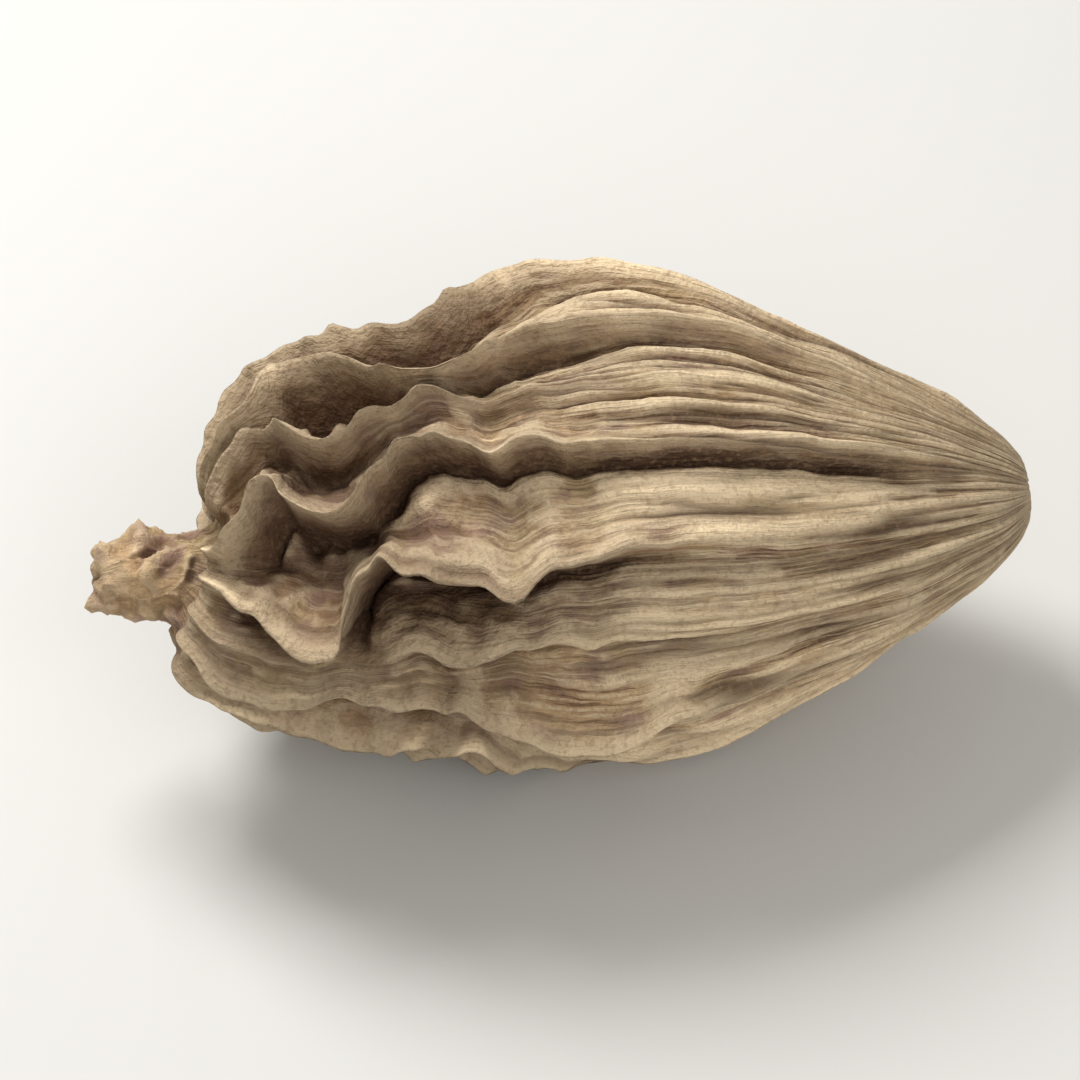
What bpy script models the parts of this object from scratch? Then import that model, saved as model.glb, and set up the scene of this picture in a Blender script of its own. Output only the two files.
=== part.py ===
"""Black cardamom pod: one dried capsule, lying on its side on small flat strips along its lowest ribs.

The husk is a single skin that grew in one piece. It is a UV sphere drawn out to the pod's long
profile. Fifteen ribs run along it from the stalk scar to the flower end, where they stand up and
crumple into folds, and the withered flower is left as a short knotted beak.

Frame: metres, +Z up, +X towards the stalk scar, -X towards the beak. The origin is the bottom
centre of the pod's box, on the surface that it rests on.
Along the pod, "share" runs from 0 at the beak's tip to 1 at the stalk scar. Round it, angles are in
degrees from straight up, and 90 is on the -Y side.
"""

import math
from collections import namedtuple

import bmesh
import bpy
import numpy as np
from mathutils import Vector, noise

MM = 0.001

# The skin under the ribs, in millimetres: (place along X, radius), from the beak's tip to the scar.
PROFILE = (
    (-15.6, 0.0),
    (-15.3, 0.9),
    (-14.3, 1.2),
    (-12.9, 1.05),
    (-11.7, 1.1),
    (-11.1, 1.7),
    (-11.2, 2.7),
    (-10.5, 3.9),
    (-8.7, 5.0),
    (-5.7, 6.15),
    (-2.6, 7.1),
    (1.2, 7.75),
    (4.75, 7.25),
    (7.9, 5.9),
    (11.2, 4.05),
    (13.6, 2.45),
    (14.45, 1.5),
    (14.75, 0.95),
    (14.6, 0.45),
    (14.55, 0.0),
)
HEIGHT_TO_WIDTH = 0.95
THREE_LOBES = 0.03
SHOULDER_REACH = 2.1
SHOULDER_ANGLE = 110.0
BEAK_FLARE = 0.9
BEAK_LIFT = 0.5
# The stalk end droops a little, towards -Y and down.
DROOP_Y = -0.75
DROOP_Z = -0.6
# The lowest ribs are worn flat by this much, where the pod rests on them.
FLAT_DEPTH = 0.75

# The beak is the part of the skin before this share; the ribs have grown out of the skin by the next.
BEAK_END = 0.115
BODY_START = 0.18
# The husk is crumpled up to the first of these shares and only pleated beyond the second.
CRUMPLED_TO = 0.4
PLEATED_FROM = 0.62

# A crest rises gently on its upper side and drops off on its lower side, as the edge of a shingle
# does; the more it hangs over, the more so.
CREST_WIDTH = 0.38
CREST_SHARPNESS = 1.05
SHINGLE_RISE = 1.9
SHINGLE_DROP = 0.25
VALLEY_SAG = 0.35
# A crest that hangs over has a trough under it, on its lower side.
TROUGH_DEPTH = 1.2
TROUGH_OFFSET = 0.6
TROUGH_WIDTH = 0.36
# On the inside of a bend, a crest leans less, so that it never folds over itself.
BEND_LIMIT = 1.6
# Over the crumpled end the ribs stand higher, the valleys sink deeper, and the crests run unevenly.
CRUMPLED_RISE = 1.35
CRUMPLED_SAG = 0.85
CREST_WOBBLE = 3.5
WOBBLES_ALONG = 26.0
# Uneven lumps all over: (size, height), in millimetres.
BROAD_LUMPS = (6.0, 0.3)
PLEATED_LUMPS = (1.7, 0.1)
CRUMPLED_LUMPS = (2.0, 0.3)
# Sharp creases in the crumpled end, the same way.
CREASES = (2.6, 0.9)
# Between two ribs, the skin of the stalk half rises in a low pleat.
PLEAT_HEIGHT = 0.22
PLEAT_WIDTH = 0.5

# The beak is a withered flower: lobes that twist round it, with knots in them.
BEAK_LOBES = 5
BEAK_LOBE_HEIGHT = 0.14
BEAK_TWIST = 40.0
BEAK_KNOTS = (1.1, 0.42)

Rib = namedtuple("Rib", "route heights lean")

# The ribs on the side that shows, in order round the pod. A route is (share, degrees), heights are
# (share, millimetres), and lean is how far the crest hangs over its lower side, in millimetres.
SEEN_RIBS = (
    Rib(  # along the upper outline
        ((0.12, -66), (0.2, -62), (0.29, -58), (0.35, -46), (0.42, -44), (0.48, -50), (0.58, -42), (0.7, -34),
         (0.85, -30), (1.0, -32)),
        ((0.12, 0.3), (0.22, 0.8), (0.4, 0.8), (0.55, 0.55), (0.75, 0.3), (1.0, 0.1)),
        0.2,
    ),
    Rib(  # upper rim of the pocket
        ((0.12, -42), (0.17, -38), (0.21, -31), (0.25, -33), (0.28, -41), (0.31, -38), (0.34, -28), (0.38, -14),
         (0.43, -13), (0.48, -18), (0.59, -16), (0.7, -15), (0.85, -9), (1.0, -10)),
        ((0.12, 0.3), (0.2, 0.7), (0.31, 1.0), (0.38, 0.7), (0.5, 0.5), (0.7, 0.35), (0.85, 0.25), (1.0, 0.1)),
        0.35,
    ),
    Rib(  # lower rim of the pocket, which runs on as a low pleat
        ((0.12, -22), (0.17, -16), (0.22, -20), (0.25, -22), (0.265, -15), (0.28, -4), (0.3, 2), (0.34, 1),
         (0.363, -3), (0.385, -6), (0.43, -3), (0.5, 1), (0.6, 3), (0.75, 4), (0.88, 5), (1.0, 8)),
        ((0.12, 0.3), (0.2, 0.5), (0.3, 0.9), (0.37, 0.7), (0.42, 0.25), (0.5, 0.1), (0.75, 0.15), (1.0, 0.05)),
        0.2,
    ),
    Rib(  # the zigzag fold, then the crest above the long groove
        ((0.12, 16), (0.17, 27), (0.2, 31), (0.225, 20), (0.243, 10), (0.255, 9), (0.265, 15), (0.283, 21),
         (0.305, 24), (0.322, 20), (0.338, 14), (0.357, 8), (0.384, 7), (0.41, 11), (0.484, 17), (0.593, 21),
         (0.745, 20), (0.9, 20), (1.0, 24)),
        ((0.12, 0.3), (0.17, 0.45), (0.22, 0.9), (0.3, 1.0), (0.38, 0.65), (0.5, 0.5), (0.7, 0.45), (0.88, 0.35),
         (1.0, 0.1)),
        0.5,
    ),
    Rib(  # the tongue, then the long light fold
        ((0.12, 38), (0.16, 42), (0.198, 46), (0.232, 52), (0.246, 58), (0.262, 62), (0.28, 62), (0.292, 59),
         (0.3, 52), (0.308, 45), (0.32, 41), (0.35, 41), (0.38, 44), (0.41, 47), (0.44, 48), (0.48, 46),
         (0.58, 45), (0.7, 48), (0.85, 48), (1.0, 50)),
        ((0.12, 0.3), (0.17, 0.45), (0.22, 0.8), (0.3, 0.95), (0.42, 1.0), (0.48, 0.5), (0.6, 0.14), (0.8, 0.15),
         (1.0, 0.08)),
        0.6,
    ),
    Rib(  # low pleat with a knot in it
        ((0.12, 60), (0.18, 64), (0.24, 73), (0.28, 76), (0.31, 73), (0.34, 68), (0.37, 67), (0.4, 70),
         (0.44, 67), (0.5, 66), (0.62, 68), (0.75, 70), (0.88, 71), (1.0, 74)),
        ((0.12, 0.3), (0.2, 0.4), (0.3, 0.15), (0.39, 0.5), (0.45, 0.2), (0.7, 0.2), (0.85, 0.2), (1.0, 0.08)),
        0.2,
    ),
    Rib(  # the lower fold
        ((0.12, 82), (0.18, 84), (0.23, 87), (0.28, 82), (0.34, 80), (0.4, 81), (0.425, 87), (0.455, 94),
         (0.5, 96), (0.535, 94), (0.56, 89), (0.6, 90), (0.68, 91), (0.78, 93), (0.9, 97), (1.0, 100)),
        ((0.12, 0.3), (0.2, 0.7), (0.35, 0.8), (0.48, 0.9), (0.6, 0.65), (0.7, 0.3), (0.85, 0.2), (1.0, 0.08)),
        0.5,
    ),
    Rib(  # along the lower outline
        ((0.12, 108), (0.2, 112), (0.28, 122), (0.34, 116), (0.4, 114), (0.47, 124), (0.55, 126), (0.65, 120),
         (0.8, 121), (1.0, 125)),
        ((0.12, 0.3), (0.2, 0.6), (0.35, 0.7), (0.5, 0.6), (0.65, 0.45), (0.8, 0.2), (1.0, 0.08)),
        0.35,
    ),
)

Hollow = namedtuple("Hollow", "share degrees length width depth")

# Pockets between the folds, in millimetres: half their length along the pod and half their width.
HOLLOWS = (
    Hollow(0.27, -24, 0.8, 0.8, 1.3),
    Hollow(0.33, -18, 1.0, 0.8, 1.2),
    Hollow(0.255, 33, 1.2, 1.1, 0.7),
    Hollow(0.33, 30, 1.1, 0.7, 0.45),
    Hollow(0.36, 54, 1.6, 0.55, 0.5),
    Hollow(0.42, 57, 1.3, 0.5, 0.5),
    Hollow(0.25, 102, 1.8, 0.8, 0.7),
    Hollow(0.37, 100, 2.0, 0.8, 0.6),
    Hollow(0.24, 205, 1.4, 0.8, 0.7),
    Hollow(0.3, 250, 1.6, 0.9, 0.7),
)

HOLLOW_REACH = 2.0

# The ribs on the far side and underneath are spaced evenly and wander by a rule.
FAR_RIB_COUNT = 7
FAR_RIB_SHARES = np.linspace(0.12, 1.0, 23)
FAR_RIB_WANDER = 6.5
FAR_RIB_HEIGHT = 0.75

RING_COUNT = 50
COLUMNS_A_RIB = 8
SHARP_ANGLE = 65.0
# Rings stand closer together over the crumpled end: (share of the rings, share of the pod).
RING_SPREAD = ((0.0, 0.0), (0.12, 0.105), (0.6, 0.46), (0.9, 0.9), (1.0, 1.0))
# How much closer columns stand at the crests: 0 is evenly spread.
CREST_CROWDING = 0.6

HUSK_COLOUR = (0.30, 0.21, 0.135)
HUSK_ROUGHNESS = 0.85


def smooth_through(knots, values, at):
    """A cubic curve through the values at the knots, read at the given places."""
    knots = np.asarray(knots, float)
    values = np.asarray(values, float)
    slopes = np.gradient(values, knots, axis=0)
    left = np.clip(np.searchsorted(knots, at, side="right") - 1, 0, len(knots) - 2)
    span = knots[left + 1] - knots[left]
    q = (at - knots[left]) / span
    if values.ndim > 1:
        q = q[..., None]
        span = span[..., None]
    return (
        (2 * q**3 - 3 * q**2 + 1) * values[left]
        + (q**3 - 2 * q**2 + q) * span * slopes[left]
        + (3 * q**2 - 2 * q**3) * values[left + 1]
        + (q**3 - q**2) * span * slopes[left + 1]
    )


def ramp(low, high, value):
    """0 below low, 1 above high, and smooth in between."""
    q = np.clip((value - low) / (high - low), 0.0, 1.0)
    return q * q * (3.0 - 2.0 * q)


def crumpled(share):
    """1 over the crumpled flower end, 0 over the pleated stalk half."""
    return ramp(PLEATED_FROM, CRUMPLED_TO, share)


def profile_at(share):
    """(place along X, radius) of the skin at each share."""
    points = np.array(PROFILE)
    steps = np.linalg.norm(np.diff(points, axis=0), axis=1)
    knots = np.concatenate([[0.0], np.cumsum(steps)]) / steps.sum()
    place = smooth_through(knots, points, share)
    return place[..., 0], np.maximum(place[..., 1], 0.0)


def skin(share, angle):
    """Points of the smooth skin under the ribs, in millimetres. The angle is in radians."""
    x, radius = profile_at(share)
    fullness = np.clip(radius / 4.0, 0.0, 1.0)
    radius = radius * (1.0 + THREE_LOBES * fullness * np.cos(3.0 * angle - math.pi))
    shoulder = (0.5 + 0.5 * np.cos(angle - math.radians(SHOULDER_ANGLE))) ** 2
    reach = SHOULDER_REACH * ramp(0.07, 0.15, share) * ramp(0.34, 0.13, share)
    radius = radius + BEAK_FLARE * shoulder * ramp(0.05, 0.12, share) * ramp(0.24, 0.12, share)
    lift = BEAK_LIFT * ramp(-10.0, -13.0, x)
    droop = ramp(1.0, 15.0, x)
    y = -np.sin(angle) * radius + DROOP_Y * droop
    z = np.cos(angle) * radius * HEIGHT_TO_WIDTH + lift + DROOP_Z * droop
    return np.stack([x - reach * shoulder, y, z], axis=-1)


def unit(vectors):
    return vectors / np.maximum(np.linalg.norm(vectors, axis=-1, keepdims=True), 1e-9)


def skin_frame(share, angle):
    """(outward, along the pod, round the pod) directions of the skin."""
    step = 1e-3
    along = unit(skin(np.minimum(share + step, 1.0), angle) - skin(np.maximum(share - step, 0.0), angle))
    around = skin(share, angle + step) - skin(share, angle - step)
    around = np.where(np.linalg.norm(around, axis=-1, keepdims=True) > 1e-7, around, (0.0, 0.0, 1.0))
    around = unit(around)
    return unit(np.cross(around, along)), along, around


def far_rib(number):
    """A rib on the hidden side. Its wander grows towards the crumpled flower end."""
    first, last = SEEN_RIBS[-1], SEEN_RIBS[0]
    shares = FAR_RIB_SHARES
    start = smooth_through(*zip(*first.route), shares)
    end = smooth_through(*zip(*last.route), shares) + 360.0
    middle = start + (end - start) * (number + 1) / (FAR_RIB_COUNT + 1)
    crumple = FAR_RIB_WANDER * ramp(0.75, 0.3, shares) + 0.8
    wander = [noise.noise(Vector((s * 17.0, number * 5.3, 2.7))) for s in shares]
    rise = [0.75 + 0.5 * noise.noise(Vector((s * 9.0, number * 3.1, 8.2))) for s in shares]
    heights = FAR_RIB_HEIGHT * np.array(rise) * (0.2 + 0.8 * ramp(0.8, 0.45, shares)) * ramp(0.08, 0.2, shares)
    return Rib(tuple(zip(shares, middle + crumple * np.array(wander))), tuple(zip(shares, heights)), 0.25)


def all_ribs():
    return list(SEEN_RIBS) + [far_rib(number) for number in range(FAR_RIB_COUNT)]


def crest_lines(share):
    """For every rib at each share: its angle in radians, the slope of its route, its height, how far it
    hangs over and how far it leans."""
    angles, slopes, heights, hangs, leans = [], [], [], [], []
    step = 1e-3
    x, radius = profile_at(share)
    walk = np.concatenate([[0.0], np.cumsum(np.maximum(np.hypot(np.diff(x), np.diff(radius)), 1e-4))])
    ahead, behind = profile_at(np.minimum(share + step, 1.0)), profile_at(np.maximum(share - step, 0.0))
    length = np.maximum(np.hypot(ahead[0] - behind[0], ahead[1] - behind[1]), 1e-6)
    # Ribs are lower where they run together at the ends.
    room = np.clip(radius / 4.5, 0.1, 1.0) * ramp(BEAK_END, BODY_START, share)
    for rib in all_ribs():
        knots, degrees = zip(*rib.route)
        held = np.clip(share, knots[0], knots[-1])
        after = smooth_through(knots, degrees, np.clip(share + step, knots[0], knots[-1]))
        before = smooth_through(knots, degrees, np.clip(share - step, knots[0], knots[-1]))
        height = smooth_through(*zip(*rib.heights), np.clip(share, rib.heights[0][0], 1.0))
        wobble = np.array([noise.noise(Vector((s * WOBBLES_ALONG, len(angles) * 7.7, 1.9))) for s in share])
        wobble = CREST_WOBBLE * wobble * crumpled(share) * ramp(BEAK_END, 0.2, share)
        angles.append(np.radians(smooth_through(knots, degrees, held) + wobble))
        swing = np.gradient(angles[-1], walk) * radius
        bend = np.maximum(np.gradient(swing, walk) / (1.0 + swing**2) ** 1.5, 0.0)
        slopes.append(np.radians(after - before) * radius / length)
        height = height * (1.0 + (CRUMPLED_RISE - 1.0) * crumpled(share))
        heights.append(np.maximum(height, 0.0) * room)
        hangs.append(rib.lean * np.clip(heights[-1] / 0.8, 0.0, 1.3) * ramp(2.5, 5.5, radius))
        leans.append(hangs[-1] / (1.0 + BEND_LIMIT * bend * hangs[-1]))
    return [np.array(rows) for rows in (angles, slopes, heights, hangs, leans)]


def lumps(points, size, height, seed):
    """Smooth uneven lumps at the points, about as long as the size and up to the height."""
    flat = points.reshape(-1, 3) / size + seed
    return height * np.array([noise.noise(Vector(p)) for p in flat]).reshape(points.shape[:-1])


def husk_points(share, place):
    """Points of the ribbed skin, in millimetres. The place round the pod counts ribs: 2.0 is the third
    rib's crest, and 2.5 is half way to the next one."""
    angles, slopes, heights, hangs, leans = crest_lines(share[:, 0])
    count = len(angles)
    low = np.floor(place).astype(int) % count
    high = (low + 1) % count
    part = place - np.floor(place)
    part = part - CREST_CROWDING * np.sin(2.0 * math.pi * part) / (2.0 * math.pi)
    row = np.arange(share.shape[0])[:, None]
    start = angles[low, row]
    turn = np.where(high == 0, 2.0 * math.pi, 0.0)
    gap = angles[high, row] + turn - start
    angle = start + part * gap
    points = skin(share, angle)
    outward, along, around = skin_frame(share, angle)
    radius = profile_at(share)[1]

    wide = ramp(0.5, 3.0, gap * radius)
    rough = crumpled(share)
    sag = VALLEY_SAG * ramp(1.0, 0.6, share) * (1.0 - rough) + CRUMPLED_SAG * rough
    height = -sag * (1.0 - np.cos(math.pi * part) ** 4) * wide
    middle = (part - 0.5) * gap * radius
    height = height + PLEAT_HEIGHT * wide * (1.0 - rough) * np.exp(-((middle / PLEAT_WIDTH) ** 2))
    shift = np.zeros_like(points)
    for rib, away in ((low, part), (high, 1.0 - part)):
        slope = slopes[rib, row]
        steep = np.sqrt(1.0 + slope**2)
        distance = away * gap * radius / steep
        # Where the ribs run together at the ends, their crests are narrower.
        width = CREST_WIDTH * np.clip(gap * radius / steep / 1.6, 0.1, 1.0)
        hang = np.clip(hangs[rib, row] / 0.5, 0.0, 1.0)
        width = width * (1.0 - SHINGLE_DROP * hang if rib is low else 1.0 + SHINGLE_RISE * hang)
        bump = np.exp(-((distance / width) ** CREST_SHARPNESS))
        height = height + heights[rib, row] * bump
        if rib is low:
            trough = np.exp(-(((distance - TROUGH_OFFSET) / TROUGH_WIDTH) ** 2))
            height = height - TROUGH_DEPTH * hangs[rib, row] * trough * wide
        # A crest that turns sharply has no room to hang over.
        across = (around - slope[..., None] * along) / steep[..., None] ** 3
        shift = shift + (leans[rib, row] * bump)[..., None] * across
    for hollow in HOLLOWS:
        at = (np.array(hollow.share), np.array(math.radians(hollow.degrees)))
        apart = points - skin(*at)
        across, endways, sideways = (apart @ direction for direction in skin_frame(*at))
        away = (endways / hollow.length) ** 2 + (sideways / hollow.width) ** 2 + (across / HOLLOW_REACH) ** 2
        height = height - hollow.depth * np.exp(-away)
    body = ramp(BEAK_END, BODY_START, share)
    height = height + body * lumps(points, *BROAD_LUMPS, 11.3)
    height = height + body * (1.0 - rough) * lumps(points, *PLEATED_LUMPS, 3.7)
    height = height + body * rough * lumps(points, *CRUMPLED_LUMPS, 3.7)
    crease_size, crease_depth = CREASES
    folds = crease_depth * (0.2 - np.abs(lumps(points, crease_size, 1.0, 23.1)))
    height = height + rough * folds * ramp(3.0, 5.5, radius)
    height = height * ramp(1.0, 0.95, share)
    # The knots fade towards both ends of the beak.
    knotted = (1.0 - body) * ramp(0.0, 0.02, share) * (0.3 + 0.7 * ramp(0.11, 0.075, share))
    lobes = BEAK_LOBE_HEIGHT * np.cos(BEAK_LOBES * angle + BEAK_TWIST * share)
    height = height + knotted * (lobes + lumps(points, *BEAK_KNOTS, 5.9))
    return points + outward * height[..., None] + shift


def drawn_out_sphere(rings, columns):
    """A UV sphere whose vertices are moved onto the husk."""
    bm = bmesh.new()
    bmesh.ops.create_uvsphere(bm, u_segments=columns, v_segments=rings, radius=1.0)
    unit_points = np.array([v.co for v in bm.verts])
    ring = np.rint(np.arccos(np.clip(unit_points[:, 2], -1.0, 1.0)) / math.pi * rings)
    column = np.rint(np.arctan2(unit_points[:, 1], unit_points[:, 0]) / (2.0 * math.pi) * columns) % columns
    shares = smooth_through(*zip(*RING_SPREAD), np.linspace(0.0, 1.0, rings + 1))
    ribs = len(all_ribs())
    place = np.arange(columns) / columns * ribs
    grid = husk_points(np.repeat(shares[:, None], columns, 1), np.repeat(place[None, :], rings + 1, 0))
    moved = grid[ring.astype(int), column.astype(int)]
    for vertex, point in zip(bm.verts, moved):
        vertex.co = Vector(point)
    # The angle round the pod runs the other way from the sphere's own.
    bmesh.ops.reverse_faces(bm, faces=bm.faces)
    return bm


def flatten_underside(bm):
    """Cuts the small flat strips that the pod rests on, along its lowest ribs."""
    lowest = min(v.co.z for v in bm.verts)
    everything = list(bm.verts) + list(bm.edges) + list(bm.faces)
    level = Vector((0.0, 0.0, lowest + FLAT_DEPTH))
    bmesh.ops.bisect_plane(bm, geom=everything, plane_co=level, plane_no=Vector((0.0, 0.0, -1.0)), clear_outer=True)
    rim = [edge for edge in bm.edges if edge.is_boundary]
    bmesh.ops.contextual_create(bm, geom=rim)


def move_to_origin(bm):
    """Puts the bottom centre of the box at the origin, and turns millimetres into metres."""
    corners = np.array([v.co for v in bm.verts])
    low, high = corners.min(axis=0), corners.max(axis=0)
    bottom = Vector(((low[0] + high[0]) / 2.0, (low[1] + high[1]) / 2.0, low[2]))
    for vertex in bm.verts:
        vertex.co = (vertex.co - bottom) * MM


def husk_material():
    material = bpy.data.materials.new("dry_husk")
    material.use_nodes = True
    shader = material.node_tree.nodes["Principled BSDF"]
    shader.inputs["Base Color"].default_value = (*HUSK_COLOUR, 1.0)
    shader.inputs["Roughness"].default_value = HUSK_ROUGHNESS
    shader.inputs["Metallic"].default_value = 0.0
    return material


def make_pod(collection):
    bm = drawn_out_sphere(RING_COUNT, COLUMNS_A_RIB * len(all_ribs()))
    flatten_underside(bm)
    move_to_origin(bm)
    mesh = bpy.data.meshes.new("cardamom_pod")
    bm.to_mesh(mesh)
    bm.free()
    mesh.shade_smooth()
    mesh.set_sharp_from_angle(angle=math.radians(SHARP_ANGLE))
    mesh.materials.append(husk_material())
    pod = bpy.data.objects.new("cardamom_pod", mesh)
    collection.objects.link(pod)
    return pod


def main():
    for old in list(bpy.data.objects):
        bpy.data.objects.remove(old)
    collection = bpy.data.collections.new("black_cardamom_pod")
    bpy.context.scene.collection.children.link(collection)
    make_pod(collection)


main()
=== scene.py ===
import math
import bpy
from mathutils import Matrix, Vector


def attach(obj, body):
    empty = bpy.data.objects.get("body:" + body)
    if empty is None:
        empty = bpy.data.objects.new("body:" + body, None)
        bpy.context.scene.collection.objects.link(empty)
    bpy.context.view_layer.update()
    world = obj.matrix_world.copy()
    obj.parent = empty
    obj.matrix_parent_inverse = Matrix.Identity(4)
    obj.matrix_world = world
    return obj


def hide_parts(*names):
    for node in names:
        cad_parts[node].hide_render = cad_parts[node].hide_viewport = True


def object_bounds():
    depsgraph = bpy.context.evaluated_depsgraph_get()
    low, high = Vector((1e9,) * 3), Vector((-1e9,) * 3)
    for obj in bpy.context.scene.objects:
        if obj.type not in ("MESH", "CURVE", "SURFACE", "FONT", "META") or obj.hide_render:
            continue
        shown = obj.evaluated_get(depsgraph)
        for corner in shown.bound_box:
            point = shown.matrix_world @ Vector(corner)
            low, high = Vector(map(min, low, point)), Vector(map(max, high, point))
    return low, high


bl_info = {
    "name": "Dried cardamom pod",
    "version": (1, 0, 0),
    "blender": (4, 5, 0),
    "location": "View3D > Sidebar > Pod",
    "description": "Makes a dried, ribbed and crumpled cardamom pod with its finish, and a stage for it",
    "category": "Mesh",
}

from collections import namedtuple

import bmesh
import bpy
import numpy as np
from bpy.props import FloatProperty, FloatVectorProperty, IntProperty, PointerProperty
from mathutils import Vector, noise
from mathutils.bvhtree import BVHTree

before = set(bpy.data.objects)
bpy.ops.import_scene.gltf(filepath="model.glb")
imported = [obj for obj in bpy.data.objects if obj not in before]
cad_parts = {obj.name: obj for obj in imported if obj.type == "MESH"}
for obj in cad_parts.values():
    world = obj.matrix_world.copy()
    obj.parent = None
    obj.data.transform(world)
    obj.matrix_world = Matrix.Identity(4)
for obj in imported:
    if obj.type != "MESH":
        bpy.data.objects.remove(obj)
SOLID_BOX = [tuple(corner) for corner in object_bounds()]

# The form is worked out in millimetres. Along the pod, "share" runs from 0 at the beak's tip to 1 at
# the stalk scar. Round it, angles are in degrees from straight up, and 90 is on the -Y side.
MM = 0.001
NODE = "cardamom_pod"
# Where the frame's origin lies: under the middle of the pod, level with the flat strips that it rests on.
ORIGIN = (-0.52361, -0.11348, -7.24422)

# The skin under the ribs, in millimetres: (place along X, radius), from the beak's tip to the scar.
PROFILE = (
    (-15.6, 0.0),
    (-15.3, 0.9),
    (-14.3, 1.2),
    (-12.9, 1.05),
    (-11.7, 1.1),
    (-11.1, 1.7),
    (-11.2, 2.7),
    (-10.5, 3.9),
    (-8.7, 5.0),
    (-5.7, 6.15),
    (-2.6, 7.1),
    (1.2, 7.75),
    (4.75, 7.25),
    (7.9, 5.9),
    (11.2, 4.05),
    (13.6, 2.45),
    (14.45, 1.5),
    (14.75, 0.95),
    (14.6, 0.45),
    (14.55, 0.0),
)
HEIGHT_TO_WIDTH = 0.95
# The section is softly three-lobed, by this share of its radius.
THREE_LOBES = 0.03
# Round this angle, the flower end has a shoulder that reaches towards the beak and flares out.
SHOULDER_ANGLE = 110.0
SHOULDER_REACH = 2.1
BEAK_FLARE = 0.9
# How far the beak is lifted, in millimetres.
BEAK_LIFT = 0.5
# The stalk end droops a little, towards -Y and down.
DROOP_Y = -0.75
DROOP_Z = -0.6
# The lowest ribs are worn flat by this much, where the pod rests on them.
FLAT_DEPTH = 0.75

# The beak is the part of the skin before this share; the ribs have grown out of the skin by the next.
BEAK_END = 0.115
BODY_START = 0.18
# The husk is crumpled up to the first of these shares and only pleated beyond the second.
CRUMPLED_TO = 0.4
PLEATED_FROM = 0.62

# A crest rises gently on its upper side and drops off on its lower side, as the edge of a shingle
# does. The more it hangs over, the more so, up to the overhang named here, in millimetres.
CREST_WIDTH = 0.38
CREST_SHARPNESS = 1.05
SHINGLE_RISE = 1.9
SHINGLE_DROP = 0.25
SHINGLE_OVERHANG = 0.5
# Ribs closer together than this have narrower crests, in millimetres.
CREST_ROOM = 1.6
# How far the skin sags between the ribs of the pleated half, in millimetres.
VALLEY_SAG = 0.35
# A crest that hangs over has a trough under it, on its lower side.
TROUGH_DEPTH = 1.2
TROUGH_OFFSET = 0.6
TROUGH_WIDTH = 0.36
# On the inside of a bend, a crest leans less, so that it never folds over itself.
BEND_LIMIT = 1.6
# Over the crumpled end the ribs stand higher, the valleys sink deeper, and the crests run unevenly.
CRUMPLED_RISE = 1.35
CRUMPLED_SAG = 0.85
CREST_WOBBLE = 3.5
WOBBLES_ALONG = 26.0
# Uneven lumps all over: size and height in millimetres, and the seed of their noise.
Lumps = namedtuple("Lumps", "size height seed")
BROAD_LUMPS = Lumps(6.0, 0.3, 11.3)
PLEATED_LUMPS = Lumps(1.7, 0.1, 3.7)
CRUMPLED_LUMPS = Lumps(2.0, 0.3, 3.7)
# Sharp creases in the crumpled end.
CREASES = Lumps(2.6, 0.9, 23.1)
# Between two ribs, the skin of the stalk half rises in a low pleat.
PLEAT_HEIGHT = 0.22
PLEAT_WIDTH = 0.5

# The beak is a withered flower: lobes that twist round it, with knots in them.
BEAK_LOBES = 5
BEAK_LOBE_HEIGHT = 0.14
BEAK_TWIST = 40.0
BEAK_KNOTS = Lumps(1.1, 0.42, 5.9)

Rib = namedtuple("Rib", "route heights lean")

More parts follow.
